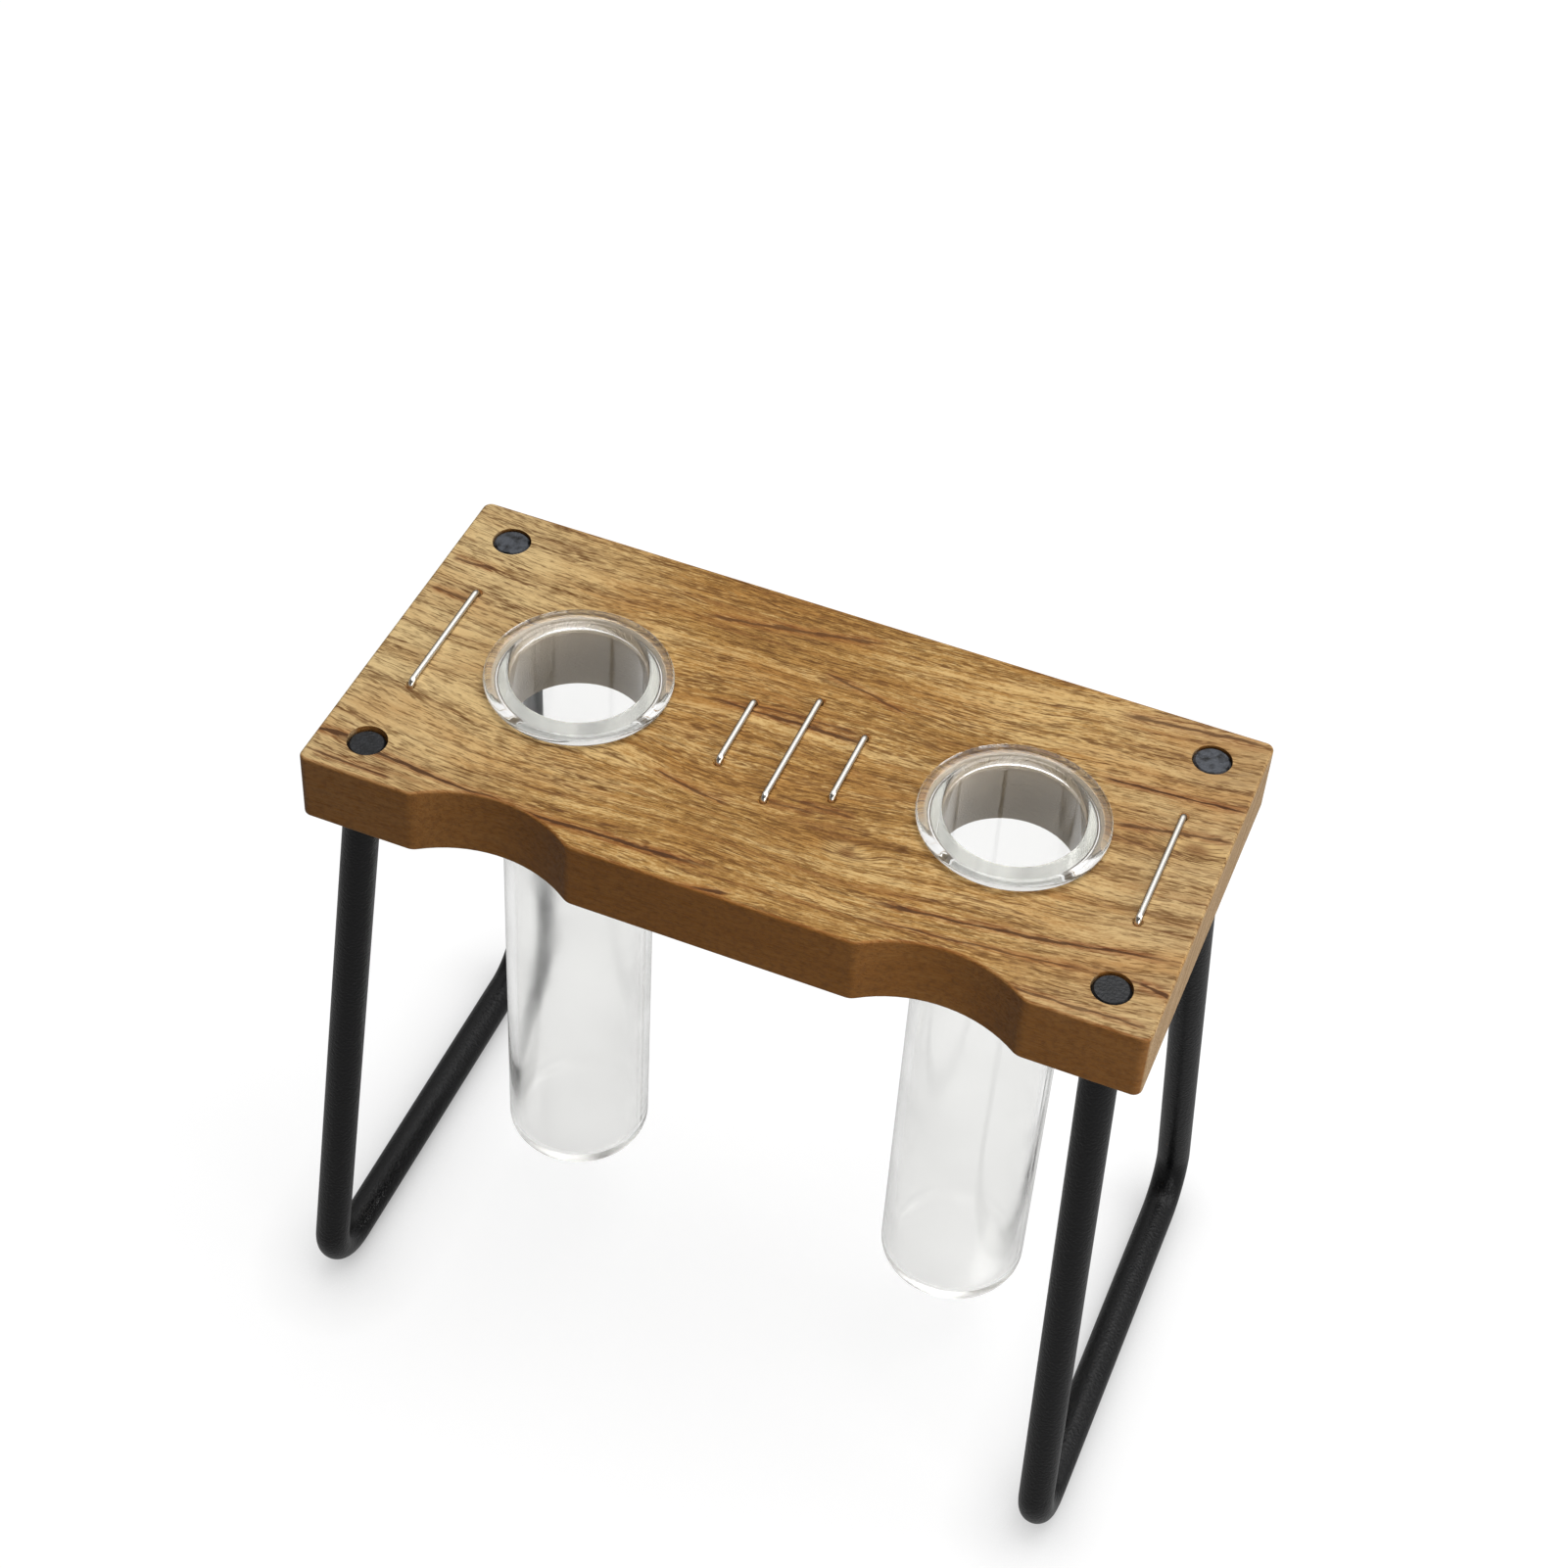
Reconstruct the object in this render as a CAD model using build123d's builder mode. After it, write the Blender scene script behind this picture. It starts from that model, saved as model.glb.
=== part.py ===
"""Test tube vase: a wooden board on two bent rod legs, with two glass tubes hanging by their lips.

Millimetres. X runs along the board, -Y is the scalloped front and Z is up. The origin is on the floor,
under the middle of the board.
"""

from build123d import *

import os
from math import cos, radians, sin, tan

os.makedirs("parts", exist_ok=True)

# Board
board_length = 150.0
board_width = 72.5
board_thickness = 14.0
corner_round = 1.6
edge_round = 0.6
scallop_width = 28.5
scallop_depth = 4.8
scallop_corner_round = 3.0

# Glass tubes: each hangs in its hole from the underside of its rolled lip
tube_length = 122.0
tube_diameter = 27.5
tube_wall = 1.8
tube_inset = 35.25
tube_floor_gap = 17.4
base_thickness = 2.0
base_round = 2.5
bore_round = 1.6
lip_height = 2.4
lip_overhang = 2.75
lip_seat_gap = 0.02
lip_seat_width = 0.3
mouth_round = 1.0
tube_clearance = 0.5

# Rod legs: the lean is outwards along the board, the splay is towards its front and back
rod_diameter = 6.5
rod_inset_x = 9.0
rod_inset_y = 8.25
rod_inner_bend = 5.75
leg_lean = 3.0
leg_splay = 7.0
rod_clearance = 0.25
rod_chamfer = 0.4
rod_recess = 0.2
low_rod_recess = 0.6

# Wire staples: a crown is measured over the outside of its wire
wire_diameter = 1.15
wire_inner_bend = 0.425
long_crown = 27.0
short_crown = 17.0
staple_depth = 8.0
end_staple_inset = 9.5
inner_staple_offset = 10.25
staple_seat_gap = 0.02
staple_fit = 0.04
staple_hole_spare = 0.5

# Heights and radii that follow from the sizes above
lip_top = tube_floor_gap + tube_length
lip_seat = lip_top - lip_height
board_top = lip_seat - lip_seat_gap
tube_x = board_length / 2 - tube_inset
tube_radius = tube_diameter / 2
tube_hole_radius = tube_radius + tube_clearance
bore_radius = tube_radius - tube_wall
bore_floor = tube_floor_gap + base_thickness
lip_radius = tube_radius + lip_overhang
lip_edge_radius = lip_height / 2
neck_round = lip_overhang - lip_edge_radius - lip_seat_width
tube_hole_chamfer = neck_round - tube_clearance
crest_radius = bore_radius + mouth_round
scallop_radius = (scallop_width**2 / 4 + scallop_depth**2) / (2 * scallop_depth)
scallop_y = -board_width / 2 + scallop_depth - scallop_radius
rod_x = board_length / 2 - rod_inset_x
rod_y = board_width / 2 - rod_inset_y
rod_radius = rod_diameter / 2
rod_foot_drop = (board_top - rod_radius) / cos(radians(leg_lean))
wire_radius = wire_diameter / 2
wire_bend = wire_inner_bend + wire_radius
end_staple_x = board_length / 2 - end_staple_inset

# Each staple: its name, its place along the board and its crown
staples = [
    ("staple_left_end", -end_staple_x, long_crown),
    ("staple_left_inner", -inner_staple_offset, short_crown),
    ("staple_centre", 0, long_crown),
    ("staple_right_inner", inner_staple_offset, short_crown),
    ("staple_right_end", end_staple_x, long_crown),
]


def staple_reach(crown):
    """From the middle of a staple to the axis of either of its ends."""
    return crown / 2 - wire_radius


def leg_plane(side):
    """The plane of the left (-1) or right (1) leg, through its rod holes at the board's top, local X along Y."""
    lean = radians(leg_lean)
    return Plane((side * rod_x, 0, board_top), x_dir=(0, 1, 0), z_dir=(cos(lean), 0, side * sin(lean)))


def upright_point(end, drop):
    """A point of the leg's plane on its front (-1) or back (1) upright, this far down from the board's top."""
    return (end * (rod_y + drop * tan(radians(leg_splay))), -drop)


def rod_hole_plane(side, end):
    """The plane square to one upright where its axis meets the board's top."""
    plane = leg_plane(side)
    top = plane.from_local_coords(Vector(*upright_point(end, 0)))
    lower = plane.from_local_coords(Vector(*upright_point(end, board_thickness)))
    return Plane(top, z_dir=top - lower)


# Board: a scalloped blank with eased edges, then the holes for tubes, rods and staples
with BuildPart() as board:
    with BuildSketch(Plane.XY.offset(board_top)) as outline:
        RectangleRounded(board_length, board_width, corner_round)
        with Locations((-tube_x, scallop_y), (tube_x, scallop_y)):
            Circle(scallop_radius, mode=Mode.SUBTRACT)
        fillet(outline.vertices(Select.LAST), scallop_corner_round)
    extrude(amount=-board_thickness)
    fillet(board.faces().filter_by(Axis.Z).edges(), edge_round)
    with BuildSketch(Plane.XY.offset(board_top)):
        with Locations((-tube_x, 0), (tube_x, 0)):
            Circle(tube_hole_radius)
    extrude(amount=-board_thickness, mode=Mode.SUBTRACT)
    chamfer(board.edges(Select.LAST).filter_by(GeomType.CIRCLE), tube_hole_chamfer)
    for side in (-1, 1):
        for end in (-1, 1):
            with BuildSketch(rod_hole_plane(side, end)):
                Circle(rod_radius + rod_clearance)
            extrude(amount=2 * board_thickness, both=True, mode=Mode.SUBTRACT)
    for _, staple_x, crown in staples:
        for end in (-1, 1):
            with Locations((staple_x, end * staple_reach(crown), board_top)):
                CounterSinkHole(
                    radius=wire_radius + staple_fit,
                    counter_sink_radius=wire_bend,
                    depth=staple_depth + staple_hole_spare,
                    counter_sink_angle=90,
                )
board.part.label = "board"
export_step(board.part, "parts/board.step")

# Legs: one rod each, bent twice, its ends trimmed level below the board's top, the left front end lower
for name, side, front_recess in (("leg_left", -1, low_rod_recess), ("leg_right", 1, rod_recess)):
    with BuildPart() as leg:
        with BuildLine(leg_plane(side)) as rod_path:
            FilletPolyline(
                upright_point(-1, -rod_diameter),
                upright_point(-1, rod_foot_drop),
                upright_point(1, rod_foot_drop),
                upright_point(1, -rod_diameter),
                radius=rod_inner_bend + rod_radius,
            )
        with BuildSketch(rod_path.line ^ 0):
            Circle(rod_radius)
        sweep(path=rod_path.line)
        for end, recess in ((-1, front_recess), (1, rod_recess)):
            with BuildSketch(Plane.XY.offset(board_top - recess)):
                with Locations((side * rod_x, end * rod_y)):
                    Circle(2 * rod_diameter)
            extrude(amount=2 * rod_diameter, mode=Mode.SUBTRACT)
        chamfer(leg.faces().filter_by(Axis.Z).edges(), rod_chamfer)
    leg.part.label = name
    export_step(leg.part, f"parts/{name}.step")

# Tubes: the glass wall's section, from the flat base up to the rolled lip and down the bore, turned full circle
for name, side in (("tube_left", -1), ("tube_right", 1)):
    with BuildPart() as tube:
        with BuildSketch(Plane.XZ.shift_origin((side * tube_x, 0, 0))):
            with BuildLine():
                base = Line((0, tube_floor_gap), (tube_radius - base_round, tube_floor_gap))
                base_corner = RadiusArc(base @ 1, (tube_radius, tube_floor_gap + base_round), -base_round)
                wall = Line(base_corner @ 1, (tube_radius, lip_seat - neck_round))
                neck = RadiusArc(wall @ 1, (tube_radius + neck_round, lip_seat), neck_round)
                seat = Line(neck @ 1, (lip_radius - lip_edge_radius, lip_seat))
                rim = RadiusArc(seat @ 1, (lip_radius, lip_seat + lip_edge_radius), -lip_edge_radius)
                rim_top = RadiusArc(rim @ 1, (lip_radius - lip_edge_radius, lip_top), -lip_edge_radius)
                crest = Line(rim_top @ 1, (crest_radius, lip_top))
                mouth = RadiusArc(crest @ 1, (bore_radius, lip_top - mouth_round), -mouth_round)
                bore = Line(mouth @ 1, (bore_radius, bore_floor + bore_round))
                bore_corner = RadiusArc(bore @ 1, (bore_radius - bore_round, bore_floor), bore_round)
                inner_base = Line(bore_corner @ 1, (0, bore_floor))
                Line(inner_base @ 1, base @ 0)
            make_face()
        revolve(axis=Axis((side * tube_x, 0, 0), (0, 0, 1)))
    tube.part.label = name
    export_step(tube.part, f"parts/{name}.step")

# Staples: wire bent square at both ends, the crown lying on the board and the ends down in their holes
crown_height = board_top + staple_seat_gap + wire_radius
for name, staple_x, crown in staples:
    with BuildPart() as staple:
        with BuildLine(Plane.YZ.offset(staple_x)) as wire_path:
            FilletPolyline(
                (-staple_reach(crown), board_top - staple_depth),
                (-staple_reach(crown), crown_height),
                (staple_reach(crown), crown_height),
                (staple_reach(crown), board_top - staple_depth),
                radius=wire_bend,
            )
        with BuildSketch(wire_path.line ^ 0):
            Circle(wire_radius)
        sweep(path=wire_path.line)
    staple.part.label = name
    export_step(staple.part, f"parts/{name}.step")
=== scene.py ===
from math import pi, radians

import bmesh
import bpy
from mathutils import Matrix, Vector


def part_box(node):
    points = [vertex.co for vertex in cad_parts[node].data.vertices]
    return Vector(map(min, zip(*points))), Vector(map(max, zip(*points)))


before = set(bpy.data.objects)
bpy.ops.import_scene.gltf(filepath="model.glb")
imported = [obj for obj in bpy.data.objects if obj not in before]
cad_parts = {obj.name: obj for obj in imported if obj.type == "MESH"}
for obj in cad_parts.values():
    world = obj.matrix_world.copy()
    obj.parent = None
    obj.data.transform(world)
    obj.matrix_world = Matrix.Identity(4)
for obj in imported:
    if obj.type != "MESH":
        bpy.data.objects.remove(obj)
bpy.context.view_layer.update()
scene = bpy.context.scene


# Board: one plank of a honey-brown ring-porous hardwood, sawn lengthwise, with two shallow scallops in its
# front edge. It is drilled for the tubes and rods, its edges are eased by hand and it is finished with oil.

mm_per_metre = 1000.0


def linear(hex_colour):
    """A colour written as sRGB hex, as the linear RGBA that shaders use."""
    channels = [int(hex_colour[i:i + 2], 16) / 255 for i in (1, 3, 5)]
    return [c / 12.92 if c <= 0.04045 else ((c + 0.055) / 1.055) ** 2.4 for c in channels] + [1.0]


def add(tree, kind, inputs=None, out=0, **settings):
    """Adds a node, sets its properties and fills its inputs: a socket is linked, anything else is a value.

    It gives back one of the node's outputs, by number or name.
    """
    made = tree.nodes.new("ShaderNode" + kind)
    for name, value in settings.items():
        setattr(made, name, value)
    for name, value in (inputs or {}).items():
        if isinstance(value, bpy.types.NodeSocket):
            tree.links.new(value, made.inputs[name])
        else:
            made.inputs[name].default_value = value
    return made.outputs[out] if made.outputs else None


def new_material(name):
    """A new node material, its tree, and the place on the piece in millimetres."""
    made = bpy.data.materials.new(name)
    made.use_nodes = True
    tree = made.node_tree
    tree.nodes.clear()
    place = {0: add(tree, "TexCoord", out="Object"), "Scale": mm_per_metre}
    return made, tree, add(tree, "VectorMath", place, operation="SCALE")


def dress(material, *nodes):
    """Gives a CAD node's object this material in every slot."""
    for node in nodes:
        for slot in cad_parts[node].material_slots:
            slot.material = material


board_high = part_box("board")[1]
board_top = board_high.z * mm_per_metre

# Oiled hardwood: golden fibres with fine brown lines, short dark pores, a browner heart and a soft sheen
oiled_hardwood, wood, mm = new_material("oiled_hardwood")
pale_fibre = "#dab679"
brown_fibre = "#ab7f41"
dark_fibre = "#684319"
line_colour = "#613c16"
streak_colour = "#7d4a1f"
warm_fibre = "#b37a36"
pale_left_end = "#dfc592"
pale_right_end = "#c0a67c"
check_colour = "#43260f"
check_rim_colour = "#945426"
knot_colour = "#7a4c20"
edge_colour = "#a0622c"
side_finish_and_shade = "#946128"
side_fleck = "#6b4520"
end_grain = "#cdae84"
end_ring = "#9c7647"
raw_and_lit_wood = "#d5c6ae"

# Fades are given by socket number: from value 1 to value 2 of what is read, the share goes from 3 to 4, which
# are 0 and 1 where they are left out
smooth = {"interpolation_type": "SMOOTHSTEP"}
along = add(wood, "SeparateXYZ", {0: mm}, out="X")
across = along.node.outputs["Y"]

# The grain lies along the board, bows up towards the right, sways a little and swells round two small knots.
# Sizes are in millimetres: a sway's are along, across and through the board, and then how far it goes. A knot
# has its place on the top and its radius, and its fades are in radii.
grain_slope = 0.04
grain_bow = 0.0008
sways = [((70.0, 26.0, 26.0), 5.0), ((14.0, 5.0, 5.0), 0.7)]
knots = [(17.0, -18.4, 1.5), (69.7, 6.5, 2.2)]
knot_stretch = 0.55
knot_swell = 0.9
knot_reach = 3.0
knot_heart_fade = {1: 0.2, 2: 1.0, 3: 0.75, 4: 0.0}
knot_halo_fade = {1: 0.9, 2: 2.0, 3: 0.55, 4: 0.0}

tilt = add(wood, "Math", {0: along, 1: -grain_bow, 2: -grain_slope}, operation="MULTIPLY_ADD")
lift = add(wood, "Math", {0: along, 1: tilt}, operation="MULTIPLY")
for sway_size, sway_reach in sways:
    sway_place = add(wood, "VectorMath", {0: mm, 1: sway_size}, operation="DIVIDE")
    sway = add(wood, "TexNoise", {"Vector": sway_place, "Scale": 1.0, "Detail": 1.0})
    sway = add(wood, "MapRange", {0: sway, 3: -sway_reach, 4: sway_reach})
    lift = add(wood, "Math", {0: lift, 1: sway}, operation="ADD")
knot_heart = 0.0
knot_halo = 0.0
for knot_x, knot_y, knot_radius in knots:
    oval = (knot_stretch, 1.0, knot_stretch)
    knot_middle = (knot_stretch * knot_x, knot_y, knot_stretch * board_top)
    flattened = add(wood, "VectorMath", {0: mm, 1: oval}, operation="MULTIPLY")
    off_knot = add(wood, "VectorMath", {0: flattened, 1: knot_middle}, out="Value", operation="DISTANCE")
    off_knot = add(wood, "Math", {0: off_knot, 1: knot_radius}, operation="DIVIDE")
    swell = {0: off_knot, 2: knot_reach, 3: knot_swell * knot_radius, 4: 0.0}
    swell = add(wood, "MapRange", swell, **smooth)
    lift = add(wood, "Math", {0: lift, 1: swell}, operation="ADD")
    dark_middle = add(wood, "MapRange", {0: off_knot, **knot_heart_fade}, **smooth)
    pale_round = add(wood, "MapRange", {0: off_knot, **knot_halo_fade}, **smooth)
    knot_heart = add(wood, "Math", {0: dark_middle, 1: knot_heart}, operation="MAXIMUM")
    knot_halo = add(wood, "Math", {0: pale_round, 1: knot_halo}, operation="MAXIMUM")
grain = add(wood, "VectorMath", {0: mm, 1: add(wood, "CombineXYZ", {"Y": lift})}, operation="ADD")

# What the grain is made of: the size of each kind of mark, and how much smaller marks there are in it. Real
# fibres are too fine to show, so fibres, hairs and grit are drawn as coarse as whole bundles of them.
mark_roughness = 0.6
mark_sizes = {
    "tone": ((40.0, 11.0, 11.0), 2.0),
    "warmth": ((26.0, 6.0, 6.0), 3.0),
    "streaks": ((48.0, 2.4, 2.4), 3.0),
    "long_fibres": ((18.0, 0.7, 0.7), 2.0),
    "fibres": ((5.0, 0.4, 0.4), 2.0),
    "hairs": ((2.2, 0.28, 0.28), 1.0),
    "grit": ((0.6, 0.3, 0.3), 1.0),
    "lines": ((36.0, 2.4, 2.4), 2.0),
    "pores": ((2.4, 0.3, 0.3), 1.0),
    "flecks": ((1.1, 1.1, 1.1), 3.0),
    "raggedness": ((4.0, 0.8, 0.8), 2.0),
    "wander": ((11.0, 5.0, 5.0), 2.0),
}
marks = {}
for mark, (mark_size, detail) in mark_sizes.items():
    mark_place = add(wood, "VectorMath", {0: grain, 1: mark_size}, operation="DIVIDE")
    noise = {"Vector": mark_place, "Scale": 1.0, "Detail": detail, "Roughness": mark_roughness}
    marks[mark] = add(wood, "TexNoise", noise)

# Growth bands lie round the log's pith, which runs along the board, below it and behind it
band_width = 2.2
band_detail = 3.0
pith_behind = 60.0
pith_below = 90.0
pith = (0.0, pith_behind, board_top - pith_below)
from_pith = add(wood, "VectorMath", {0: grain, 1: (0.0, 1.0, 1.0)}, operation="MULTIPLY")
log_radius = add(wood, "VectorMath", {0: from_pith, 1: pith}, out="Value", operation="DISTANCE")
band_place = add(wood, "Math", {0: log_radius, 1: band_width}, operation="DIVIDE")
band_noise = {"W": band_place, "Scale": 1.0, "Detail": band_detail}
marks["bands"] = add(wood, "TexNoise", band_noise, noise_dimensions="1D")

# How brown each spot is, from each mark's departure from its own middle, on top of a browner heart
noise_middle = 0.5
heart_x = -10.0
heart_fade = {1: 0.0, 2: 50.0, 3: 0.2, 4: 0.0}
shade_shares = {
    "tone": 1.6,
    "bands": 1.1,
    "streaks": 1.0,
    "long_fibres": 0.7,
    "fibres": 1.2,
    "hairs": 1.5,
    "grit": 0.9,
}
brown_fade = {1: -0.55, 2: 0.3}
dark_fade = {1: 0.2, 2: 1.0, 4: 0.9}
from_heart = add(wood, "Math", {0: along, 1: heart_x}, operation="SUBTRACT")
from_heart = add(wood, "Math", {0: from_heart}, operation="ABSOLUTE")
shade = add(wood, "MapRange", {0: from_heart, **heart_fade}, **smooth)
for mark, share in shade_shares.items():
    off_middle = add(wood, "Math", {0: marks[mark], 1: noise_middle}, operation="SUBTRACT")
    shade = add(wood, "Math", {0: off_middle, 1: share, 2: shade}, operation="MULTIPLY_ADD")
brown = add(wood, "MapRange", {0: shade, **brown_fade}, **smooth)
dark = add(wood, "MapRange", {0: shade, **dark_fade}, **smooth)

# The left end is paler and yellower, and the right end greyer
left_end_fade = {1: -73.0, 2: -25.0, 3: 0.65, 4: 0.0}
right_end_fade = {1: 35.0, 2: 75.0, 4: 0.5}
pale_left = add(wood, "MapRange", {0: along, **left_end_fade}, **smooth)
pale_right = add(wood, "MapRange", {0: along, **right_end_fade}, **smooth)

# Fine broken lines gather where the streaks are. The pores are short open dashes, and most of them lie in the
# early wood of the growth bands.
line_fade = {1: 0.01, 2: 0.07, 3: 0.95, 4: 0.0}
line_gaps = {1: 0.36, 2: 0.56}
line_gathering = {1: 0.4, 2: 0.6, 3: 0.3}
streak_fade = {1: 0.56, 2: 0.7, 4: 0.45}
warmth_fade = {1: 0.45, 2: 0.7, 4: 0.4}
pore_gathering = 0.35
pore_fade = {1: 0.55, 2: 0.68, 4: 0.65}
line_field = add(wood, "Math", {0: marks["lines"], 1: noise_middle}, operation="SUBTRACT")
line_field = add(wood, "Math", {0: line_field}, operation="ABSOLUTE")
lines = add(wood, "MapRange", {0: line_field, **line_fade})
broken = add(wood, "MapRange", {0: marks["hairs"], **line_gaps})
lines = add(wood, "Math", {0: lines, 1: broken}, operation="MULTIPLY")
gathered = add(wood, "MapRange", {0: marks["streaks"], **line_gathering})
lines = add(wood, "Math", {0: lines, 1: gathered}, operation="MULTIPLY")
streaks = add(wood, "MapRange", {0: marks["streaks"], **streak_fade})
warmth = add(wood, "MapRange", {0: marks["warmth"], **warmth_fade})
early_wood = add(wood, "Math", {0: marks["bands"], 1: noise_middle}, operation="SUBTRACT")
pore_field = {0: early_wood, 1: pore_gathering, 2: marks["pores"]}
pore_field = add(wood, "Math", pore_field, operation="MULTIPLY_ADD")
pores = add(wood, "MapRange", {0: pore_field, **pore_fade})

# Checks and mineral lines in the top: middle, half length, slope, bow, half width and how dark. The fade at
# their tips is in half lengths, and those of the core and the browner rim are in half widths.
dark_lines = [
    ((-37.0, -31.7), 39.0, -0.02, 0.0016, 0.34, 0.9),
    ((-4.0, -36.0), 8.0, 0.16, 0.0, 0.28, 0.85),
    ((48.5, -23.4), 27.0, 0.165, 0.0006, 0.28, 0.85),
    ((43.5, -28.4), 20.0, 0.117, 0.0, 0.22, 0.7),
    ((-3.0, 6.2), 15.0, 0.03, 0.001, 0.34, 0.8),
    ((-2.0, 7.9), 12.0, 0.05, 0.0, 0.24, 0.65),
    ((62.5, 17.2), 14.0, 0.07, 0.0, 0.3, 0.95),
    ((65.0, 8.6), 11.0, 0.2, 0.0, 0.34, 0.75),
    ((-10.6, 28.0), 18.0, 0.19, 0.0, 0.4, 0.7),
    ((61.0, 33.6), 14.0, 0.11, 0.0, 0.45, 0.75),
    ((-69.0, 11.0), 5.0, 0.0, 0.0, 0.35, 0.7),
    ((-69.5, 20.0), 4.5, 0.0, 0.0, 0.3, 0.7),
    ((-72.2, -28.6), 4.5, 0.05, 0.0, 0.4, 0.9),
    ((-65.8, -34.0), 8.5, -0.03, 0.0, 0.26, 0.75),
    ((-12.2, -15.3), 8.0, -0.17, 0.0, 0.24, 0.75),
    ((4.0, -12.7), 5.0, 0.05, 0.0, 0.3, 0.6),
    ((10.5, -10.6), 5.5, 0.05, 0.0, 0.3, 0.6),
    ((6.3, 18.3), 9.0, -0.24, 0.0, 0.3, 0.7),
    ((72.5, -25.9), 3.2, -0.19, 0.0, 0.35, 0.85),
    ((61.8, -34.1), 13.0, 0.017, 0.0, 0.28, 0.7),
]
wander_reach = 0.9
ragged_fade = {1: 0.3, 2: 0.7, 3: 0.5, 4: 2.2}
tip_fade = {1: 0.7, 2: 1.0, 4: 0.0}
core_fade = {1: 0.7, 2: 1.6, 3: 1.0, 4: 0.0}
rim_fade = {1: 1.0, 2: 5.0, 3: 0.5, 4: 0.0}
wander = add(wood, "MapRange", {0: marks["wander"], 3: -wander_reach, 4: wander_reach})
wandered = add(wood, "Math", {0: across, 1: wander}, operation="ADD")
ragged = add(wood, "MapRange", {0: marks["raggedness"], **ragged_fade})
checks = 0.0
check_rims = 0.0
for (check_x, check_y), half_length, slope, bow, half_width, depth in dark_lines:
    from_middle = add(wood, "Math", {0: along, 1: check_x}, operation="SUBTRACT")
    rise = add(wood, "Math", {0: from_middle, 1: bow, 2: slope}, operation="MULTIPLY_ADD")
    course = add(wood, "Math", {0: from_middle, 1: rise, 2: check_y}, operation="MULTIPLY_ADD")
    aside = add(wood, "Math", {0: wandered, 1: course}, operation="SUBTRACT")
    aside = add(wood, "Math", {0: aside}, operation="ABSOLUTE")
    aside = add(wood, "Math", {0: aside, 1: half_width}, operation="DIVIDE")
    far = add(wood, "Math", {0: from_middle}, operation="ABSOLUTE")
    far = add(wood, "Math", {0: far, 1: half_length}, operation="DIVIDE")
    kept = add(wood, "MapRange", {0: far, 3: depth, **tip_fade}, **smooth)
    rim = add(wood, "MapRange", {0: aside, **rim_fade}, **smooth)
    aside = add(wood, "Math", {0: aside, 1: ragged}, operation="MULTIPLY")
    core = add(wood, "MapRange", {0: aside, **core_fade}, **smooth)
    core = add(wood, "Math", {0: core, 1: kept}, operation="MULTIPLY")
    rim = add(wood, "Math", {0: rim, 1: kept}, operation="MULTIPLY")
    checks = add(wood, "Math", {0: core, 1: checks}, operation="MAXIMUM")
    check_rims = add(wood, "Math", {0: rim, 1: check_rims}, operation="MAXIMUM")

# The checks open in the top alone, the long eased edges took up more oil, sanding left the sides more even,
# and the sawn ends show rings and open pores. The sides' darker brown is partly their finish and partly
# painted shade, for faces turned away from the light. Where these are is read from the way that the wood
# faces.
top_facing = {1: 0.7, 2: 0.95}
edge_facing = {1: 0.1, 2: 0.5, 4: 0.6}
side_facing = {1: 0.2, 2: 0.8, 3: 0.75, 4: 0.0}
end_facing = {1: 0.8, 2: 0.95, 4: 0.8}
fleck_fade = {1: 0.45, 2: 0.65, 4: 0.5}
ring_fade = {1: 0.42, 2: 0.62, 4: 0.6}
end_pore_fade = {1: 0.5, 2: 0.66, 4: 0.5}
facing = add(wood, "VectorMath", {0: add(wood, "TexCoord", out="Normal")}, operation="ABSOLUTE")
flatness = add(wood, "SeparateXYZ", {0: facing}, out="Z")
on_top = add(wood, "MapRange", {0: flatness, **top_facing})
checks = add(wood, "Math", {0: checks, 1: on_top}, operation="MULTIPLY")
check_rims = add(wood, "Math", {0: check_rims, 1: on_top}, operation="MULTIPLY")
edges = add(wood, "MapRange", {0: flatness.node.outputs["Y"], **edge_facing})
sides = add(wood, "MapRange", {0: flatness, **side_facing}, **smooth)
ends = add(wood, "MapRange", {0: flatness.node.outputs["X"], **end_facing})
flecks = add(wood, "MapRange", {0: marks["flecks"], **fleck_fade})
flecks = add(wood, "Math", {0: flecks, 1: sides}, operation="MULTIPLY")
end_rings = add(wood, "MapRange", {0: marks["bands"], **ring_fade})
end_rings = add(wood, "Math", {0: end_rings, 1: ends}, operation="MULTIPLY")
end_pores = add(wood, "MapRange", {0: marks["pores"], **end_pore_fade})
end_pores = add(wood, "Math", {0: end_pores, 1: ends}, operation="MULTIPLY")

# The tube holes' walls are pale: partly raw wood, as the holes were bored after the oiling, and partly
# painted light, for the light that comes into the holes through the glass. The pale wall ends under the lip.
pale_wall_share = 0.9
pale_wall_inset = 1.6
pale_wall_blend = 0.4
raw_and_lit_walls = 0.0
level_place = add(wood, "VectorMath", {0: mm, 1: (1.0, 1.0, 0.0)}, operation="MULTIPLY")
for tube in ("tube_left", "tube_right"):
    tube_low, tube_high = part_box(tube)
    axis = (tube_low + tube_high) / 2 * mm_per_metre
    pale_wall_start = (tube_high.x - tube_low.x) / 2 * mm_per_metre - pale_wall_inset
    hole = {0: level_place, 1: (axis.x, axis.y, 0.0)}
    hole = add(wood, "VectorMath", hole, out="Value", operation="DISTANCE")
    hole = {0: hole, 1: pale_wall_start, 2: pale_wall_start + pale_wall_blend, 3: pale_wall_share, 4: 0.0}
    hole = add(wood, "MapRange", hole)
    raw_and_lit_walls = add(wood, "Math", {0: hole, 1: raw_and_lit_walls}, operation="MAXIMUM")

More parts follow.
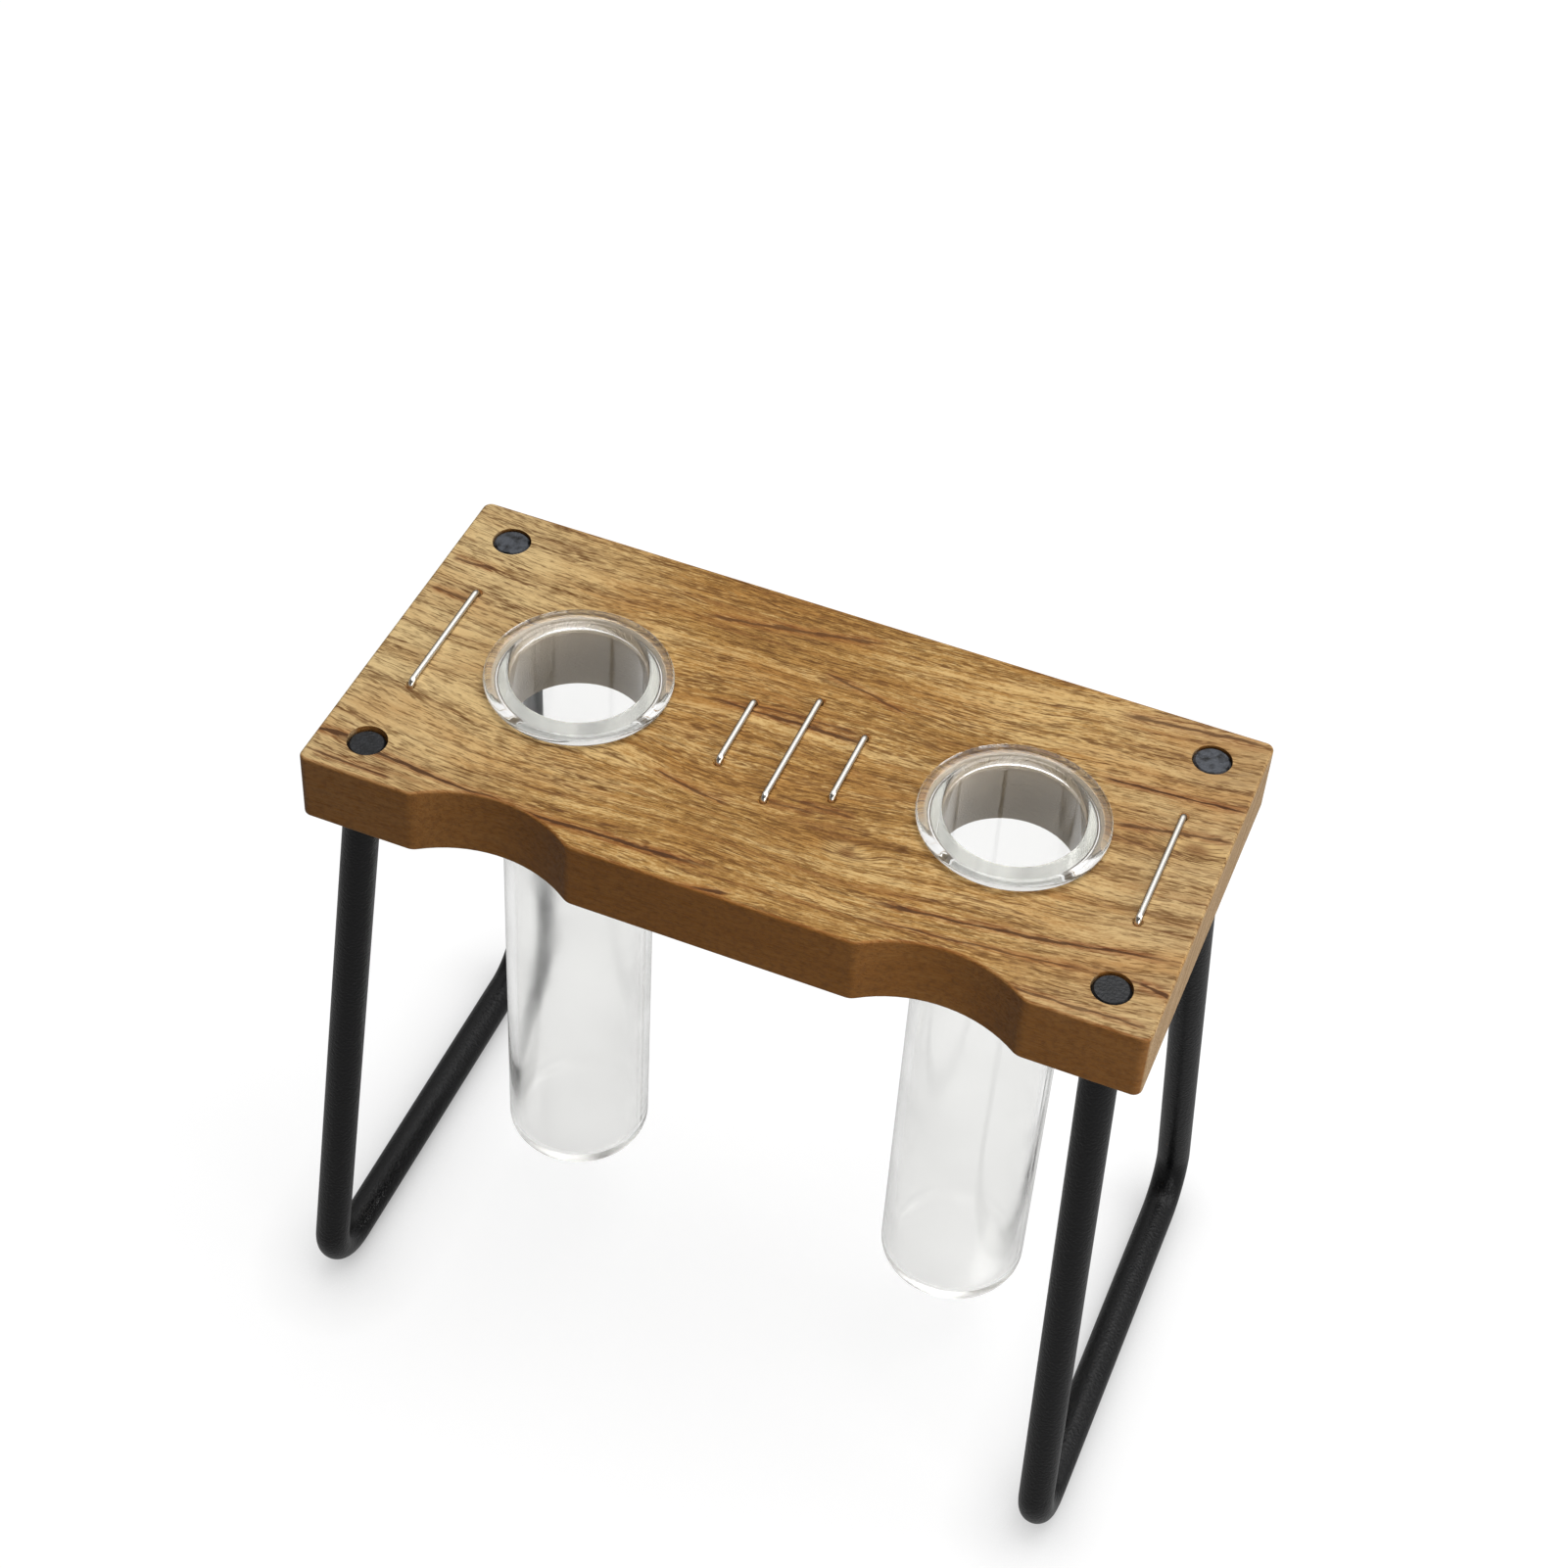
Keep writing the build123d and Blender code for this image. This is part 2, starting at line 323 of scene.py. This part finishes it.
# Stains go on in this order: how much of one each spot takes, and its colour
stains = [
    (brown, brown_fibre),
    (dark, dark_fibre),
    (pale_left, pale_left_end),
    (pale_right, pale_right_end),
    (warmth, warm_fibre),
    (streaks, streak_colour),
    (knot_halo, pale_fibre),
    (knot_heart, knot_colour),
    (lines, line_colour),
    (pores, dark_fibre),
    (check_rims, check_rim_colour),
    (checks, check_colour),
    (edges, edge_colour),
    # darker sides: partly their finish, partly painted shade
    (sides, side_finish_and_shade),
    (flecks, side_fleck),
    (ends, end_grain),
    (end_rings, end_ring),
    (end_pores, side_fleck),
    # pale hole walls: partly raw wood, partly painted light
    (raw_and_lit_walls, raw_and_lit_wood),
]
wood_colour = linear(pale_fibre)
for share, hex_colour in stains:
    stain = {0: share, 6: wood_colour, 7: linear(hex_colour)}
    wood_colour = add(wood, "Mix", stain, out=2, data_type="RGBA")

# The oil lies smooth on the fibres and leaves the pores and checks dull and open
oil_dullness = {1: -0.6, 2: 0.7, 3: 0.75, 4: 0.5}
grain_relief = {"Strength": 0.7, "Distance": 0.00015}
hollows = add(wood, "Math", {0: pores, 1: checks}, operation="MAXIMUM")
relief = add(wood, "Math", {0: marks["fibres"], 1: hollows}, operation="SUBTRACT")
oiled = {
    "Base Color": wood_colour,
    "Roughness": add(wood, "MapRange", {0: relief, **oil_dullness}),
    "IOR": 1.5,
    "Specular IOR Level": 0.2,
    "Normal": add(wood, "Bump", {"Height": relief, **grain_relief}),
}
add(wood, "OutputMaterial", {"Surface": add(wood, "BsdfPrincipled", oiled)})
dress(oiled_hardwood, "board")


# Legs: one mild steel rod each, bent twice into an open frame whose bottom run lies on the floor. The rod is
# powder coated black. Its ends are pushed up through the board, glued and dressed nearly flush with its top.

# Powder coat: near black with a low sheen and a faint orange peel. Dressing scuffed the end faces slate grey,
# and the end faces grow greyer from the front to the back.
powder_coat, coat, coat_mm = new_material("black_powder_coat")
coat_dark = "#050505"
coat_light = "#0d0d0f"
end_dark = "#101113"
end_light = "#4a4d53"
peel_size = 0.55
cloud_size = 14.0
scuff_size = 1.8
scuff_fade = {1: 0.35, 2: 0.7}
end_grey_towards_back = {1: -28.0, 2: 28.0, 3: 0.15, 4: 1.7}
end_facing_up = {1: 0.55, 2: 0.65}
end_depth = 2.0
end_blend = 0.5
coat_dullness = {3: 0.3, 4: 0.42}
peel_relief = {"Strength": 0.7, "Distance": 0.0002}
peel = add(coat, "TexNoise", {"Vector": coat_mm, "Scale": 1 / peel_size, "Detail": 2.0})
cloud = add(coat, "TexNoise", {"Vector": coat_mm, "Scale": 1 / cloud_size, "Detail": 2.0})
scuffs = add(coat, "TexNoise", {"Vector": coat_mm, "Scale": 1 / scuff_size, "Detail": 4.0})
facing_up = add(coat, "SeparateXYZ", {0: add(coat, "TexCoord", out="Normal")}, out="Z")
facing_up = add(coat, "MapRange", {0: facing_up, **end_facing_up})
coat_height = add(coat, "SeparateXYZ", {0: coat_mm}, out="Z")
greyer_to_back = add(coat, "MapRange", {0: coat_height.node.outputs["Y"], **end_grey_towards_back})
at_top = {0: coat_height, 1: board_top - end_depth, 2: board_top - end_depth + end_blend}
at_top = add(coat, "MapRange", at_top)
rod_ends = add(coat, "Math", {0: facing_up, 1: at_top}, operation="MULTIPLY")
end_grey = add(coat, "MapRange", {0: scuffs, **scuff_fade})
end_grey = add(coat, "Math", {0: end_grey, 1: greyer_to_back}, operation="MULTIPLY")
end_colour = {0: end_grey, 6: linear(end_dark), 7: linear(end_light)}
end_colour = add(coat, "Mix", end_colour, out=2, data_type="RGBA")
coat_colour = {0: cloud, 6: linear(coat_dark), 7: linear(coat_light)}
coat_colour = add(coat, "Mix", coat_colour, out=2, data_type="RGBA")
coat_colour = add(coat, "Mix", {0: rod_ends, 6: coat_colour, 7: end_colour}, out=2, data_type="RGBA")
coated = {
    "Base Color": coat_colour,
    "Roughness": add(coat, "MapRange", {0: cloud, **coat_dullness}),
    "IOR": 1.5,
    "Specular IOR Level": 0.22,
    "Normal": add(coat, "Bump", {"Height": peel, **peel_relief}),
}
add(coat, "OutputMaterial", {"Surface": add(coat, "BsdfPrincipled", coated)})
dress(powder_coat, "leg_left", "leg_right")


# Tubes: clear laboratory glass, drawn as tubing, then closed flat at the bottom and rolled outwards at the
# mouth in a flame. Each one hangs in its hole from the underside of that lip and lifts straight out.

# Clear glass: it bends what lies behind it, light that runs inside the wall turns the mouth's ring cream, and
# below the board dried water has left a faint cloudy film
clear_glass, glass, glass_mm = new_material("clear_drawn_glass")
glass_colour = "#f8f8f7"
wall_colour = "#eef0dc"
wall_density = 2.5
film_size = 16.0
film_fade = {1: 0.35, 2: 0.65, 3: 0.03, 4: 0.16}
film_below = 25.0
film_above = 5.0
film = add(glass, "TexNoise", {"Vector": glass_mm, "Scale": 1 / film_size, "Detail": 3.0})
film = add(glass, "MapRange", {0: film, **film_fade})
glass_height = add(glass, "SeparateXYZ", {0: glass_mm}, out="Z")
wetted = {0: glass_height, 1: board_top - film_below, 2: board_top - film_above, 3: 1.0, 4: 0.0}
wetted = add(glass, "MapRange", wetted)
clear = {
    "Base Color": linear(glass_colour),
    "Roughness": add(glass, "Math", {0: film, 1: wetted}, operation="MULTIPLY"),
    "IOR": 1.5,
    "Transmission Weight": 1.0,
}
wall_tint = add(glass, "VolumeAbsorption", {"Color": linear(wall_colour), "Density": wall_density})
add(glass, "OutputMaterial", {"Surface": add(glass, "BsdfPrincipled", clear), "Volume": wall_tint})
dress(clear_glass, "tube_left", "tube_right")


# Staples: bright steel wire, cut, bent square at both ends and pressed into drilled holes, so that only the
# straight crowns lie on the board's top.

# Polished wire: a bright metal with draw lines along it that blur it a little. Its dark edge tint is painted
# shade: it darkens the wire where it turns away, for its contact shadow and the dark surroundings its sides
# show.
# They are drawn coarser than real ones, so that they show.
polished_wire, wire, wire_mm = new_material("polished_steel_wire")
wire_colour = "#e6e1d8"
# The edge tint is painted shade, not a colour of the steel
painted_edge_shade = "#4a4744"
draw_line_size = (0.12, 9.0, 0.12)
wire_dullness = {3: 0.18, 4: 0.26}
draw_place = add(wire, "VectorMath", {0: wire_mm, 1: draw_line_size}, operation="DIVIDE")
draw_lines = add(wire, "TexNoise", {"Vector": draw_place, "Scale": 1.0, "Detail": 2.0})
polished = {
    "Base Color": linear(wire_colour),
    "Specular Tint": linear(painted_edge_shade),
    "Metallic": 1.0,
    "Roughness": add(wire, "MapRange", {0: draw_lines, **wire_dullness}),
}
add(wire, "OutputMaterial", {"Surface": add(wire, "BsdfPrincipled", polished)})
dress(
    polished_wire,
    "staple_left_end",
    "staple_left_inner",
    "staple_centre",
    "staple_right_inner",
    "staple_right_end",
)


# Floor, light and camera: a white sweep under soft studio light from above, behind and the right, and a
# camera that looks down on the board's front from its right.

floor_reach = 6.0
floor_shape = bmesh.new()
bmesh.ops.create_grid(floor_shape, x_segments=1, y_segments=1, size=floor_reach)
floor_mesh = bpy.data.meshes.new("floor")
floor_shape.to_mesh(floor_mesh)
floor_shape.free()
floor = bpy.data.objects.new("floor", floor_mesh)
scene.collection.objects.link(floor)

# Paper sweep: matt, with a glow that only the camera, gloss and glass see, so that it shows white. The glow
# dims close to whatever lies on the floor, a painted contact shadow, and grows to pure white far from it.
paper_sweep, paper, paper_mm = new_material("white_paper_sweep")
paper_colour = "#808080"
white = "#ffffff"
open_glow = {1: 500.0, 2: 2500.0, 3: 0.86, 4: 1.0}
contact_reach = 0.016
contact_samples = 8
contact_fade = {3: 0.2, 4: 1.0}
gloss_glow = 0.35
glass_glow = 0.8
away = add(paper, "VectorMath", {0: paper_mm}, out="Value", operation="LENGTH")
camera_glow = add(paper, "MapRange", {0: away, **open_glow})
painted_contact_shade = add(paper, "AmbientOcclusion", {"Distance": contact_reach}, out="AO", samples=contact_samples)
painted_contact_shade = add(paper, "MapRange", {0: painted_contact_shade, **contact_fade})
camera_glow = add(paper, "Math", {0: camera_glow, 1: painted_contact_shade}, operation="MULTIPLY")
floor_glows = [
    ("Is Camera Ray", camera_glow),
    ("Is Glossy Ray", gloss_glow),
    ("Is Transmission Ray", glass_glow),
]
glow = 0.0
for ray, level in floor_glows:
    seen = add(paper, "Math", {0: add(paper, "LightPath", out=ray), 1: level}, operation="MULTIPLY")
    glow = add(paper, "Math", {0: seen, 1: glow}, operation="MAXIMUM")
glow = add(paper, "Emission", {"Color": linear(white), "Strength": glow})
matt = add(paper, "BsdfDiffuse", {"Color": linear(paper_colour)})
add(paper, "OutputMaterial", {"Surface": add(paper, "AddShader", {0: glow, 1: matt})})
floor_mesh.materials.append(paper_sweep)

# The room is white to the camera. Glass and gloss see its ceiling dim in front, and gloss its low walls too.
studio = bpy.data.worlds.new("studio")
studio.use_nodes = True
room = studio.node_tree
room.nodes.clear()
room_light = 0.12
dim_ceiling = 0.08
dim_walls = 0.25
front_fade = {1: -0.3, 2: 0.3, 3: 1.0, 4: 0.0}
overhead_fade = {1: 0.2, 2: 0.5}
wall_fade = {1: 0.3, 2: 0.55, 3: dim_walls, 4: 1.0}
towards = add(room, "SeparateXYZ", {0: add(room, "TexCoord", out="Generated")}, out="Y")
upwards = towards.node.outputs["Z"]
front = add(room, "MapRange", {0: towards, **front_fade}, **smooth)
overhead = add(room, "MapRange", {0: upwards, **overhead_fade}, **smooth)
ceiling = add(room, "Math", {0: front, 1: overhead}, operation="MULTIPLY")
walls = add(room, "MapRange", {0: ceiling, 3: 1.0, 4: dim_ceiling})
gloss = add(room, "MapRange", {0: upwards, **wall_fade}, **smooth)
gloss = add(room, "Math", {0: gloss, 1: walls}, operation="MULTIPLY")
room_levels = [("Is Glossy Ray", gloss), ("Is Transmission Ray", walls), ("Is Diffuse Ray", room_light)]
brightness = add(room, "LightPath", out="Is Camera Ray")
for ray, level in room_levels:
    seen = add(room, "Math", {0: add(room, "LightPath", out=ray), 1: level}, operation="MULTIPLY")
    brightness = add(room, "Math", {0: brightness, 1: seen}, operation="MAXIMUM")
backdrop = add(room, "Background", {"Color": linear(white), "Strength": brightness})
add(room, "OutputWorld", {"Surface": backdrop})
scene.world = studio

# Softboxes: name, place, width and power in watts, all turned to the board's top
softboxes = [
    ("overhead", (0.15, 0.25, 1.3), 1.0, 13.5),
    ("right_side", (1.2, 0.25, 0.6), 0.8, 5.0),
    ("right_front", (0.36, -0.3, 0.24), 0.25, 0.72),
]
lit_spot = Vector((0.0, 0.0, board_high.z))
for name, spot, width, power in softboxes:
    lamp = bpy.data.lights.new(name, "AREA")
    lamp.shape = "SQUARE"
    lamp.size = width
    lamp.energy = power
    softbox = bpy.data.objects.new(name, lamp)
    softbox.location = spot
    softbox.rotation_euler = (Vector(spot) - lit_spot).to_track_quat("Z", "Y").to_euler()
    scene.collection.objects.link(softbox)

# The camera looks at a point behind the board and below its top, which it is turned about
camera_target = (-0.01769, 0.04735, 0.077)
camera_distance = 0.59419
camera_azimuth = radians(19.32)
camera_elevation = radians(45.64)
camera_roll = radians(3.91)
lens = bpy.data.cameras.new("camera")
lens.sensor_width = 36.0
lens.lens = 69.92
camera = bpy.data.objects.new("camera", lens)
camera.matrix_world = (
    Matrix.Translation(camera_target)
    @ Matrix.Rotation(camera_azimuth, 4, "Z")
    @ Matrix.Rotation(pi / 2 - camera_elevation, 4, "X")
    @ Matrix.Rotation(camera_roll, 4, "Z")
    @ Matrix.Translation((0.0, 0.0, camera_distance))
)
scene.collection.objects.link(camera)
scene.camera = camera
scene.view_settings.view_transform = "Standard"

# Light runs down inside the tubes' walls in many small bounces before it comes out again
wall_bounces = 160
scene.cycles.max_bounces = wall_bounces
scene.cycles.glossy_bounces = wall_bounces
scene.cycles.transmission_bounces = wall_bounces
